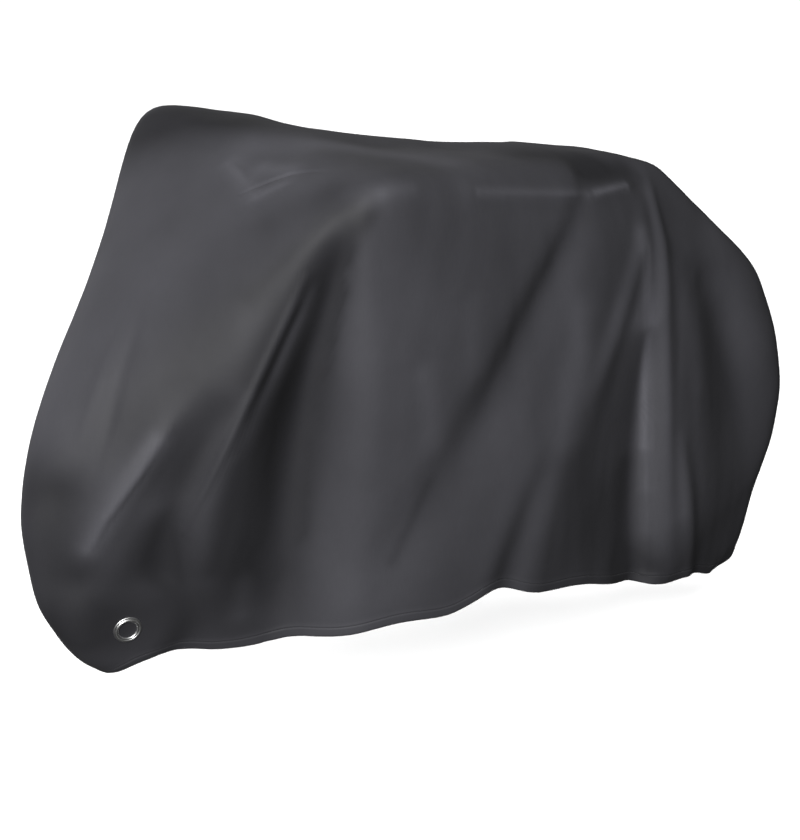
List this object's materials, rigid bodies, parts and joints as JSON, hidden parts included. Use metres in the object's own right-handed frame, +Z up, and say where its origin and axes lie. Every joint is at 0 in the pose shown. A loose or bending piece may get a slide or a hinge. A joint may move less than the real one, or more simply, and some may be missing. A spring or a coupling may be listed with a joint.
{
  "type": "fitted bicycle cover",
  "caption": "Fitted fabric cover draped as over a bicycle, hollow and open at the hem, with a metal lock eyelet in each side of its front corner.",
  "frame": {"origin": "on the centre plane at the underside of the cloth where it rests on the saddle", "axes": "+X to the back of the bicycle, -Y to the near side that the cover is seen from, +Z up"},
  "size_m": [1.8165, 0.7014, 1.0936],
  "materials": {
    "cloth": "smooth coated woven cloth, charcoal, with a soft satin sheen",
    "eyelet_metal": "plated rolled steel, bright"
  },
  "bodies": {
    "root": {"cover_cloth": "cloth", "eyelet_strip_near": "cloth", "eyelet_strip_far": "cloth", "eyelet_ring_near": "eyelet_metal", "eyelet_ring_far": "eyelet_metal"}
  },
  "joints": []
}
